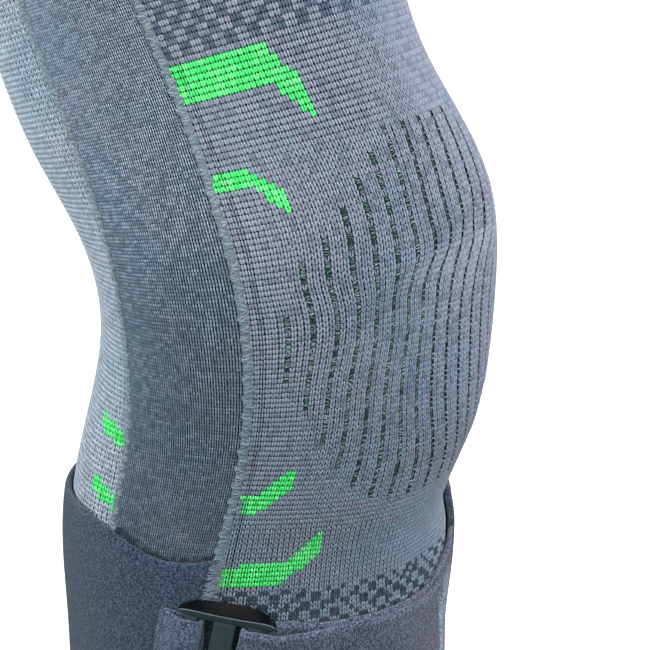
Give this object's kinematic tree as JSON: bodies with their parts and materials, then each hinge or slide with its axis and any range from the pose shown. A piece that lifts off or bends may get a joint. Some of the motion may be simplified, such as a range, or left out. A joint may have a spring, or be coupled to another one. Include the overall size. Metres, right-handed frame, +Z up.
{
  "type": "knee support",
  "caption": "Knitted pull-on knee support in its worn, slightly bent form, with vented front, ribbed side strips and a plush calf strap closed through a slider buckle.",
  "frame": {"origin": "middle of the knee, on the axis of the leg's hollow", "axes": "+Z up along the shin, -Y to the front of the knee, -X to the outer side of a right leg"},
  "size_m": [0.1334, 0.1825, 0.3026],
  "materials": {
    "front_knit": "grey marl knit with bright green marks",
    "back_knit": "light grey knit",
    "side_knit": "fine ribbed blue-grey knit",
    "plush": "brushed loop pile, dark blue-grey",
    "black_plastic": "moulded, satin"
  },
  "bodies": {
    "root": {"front_panel": "front_knit", "back_panel": "back_knit", "lateral_panel": "side_knit", "medial_panel": "side_knit", "calf_wrap": "plush", "buckle_tab": "plush", "front_strap": "plush", "buckle": "black_plastic"}
  },
  "joints": []
}
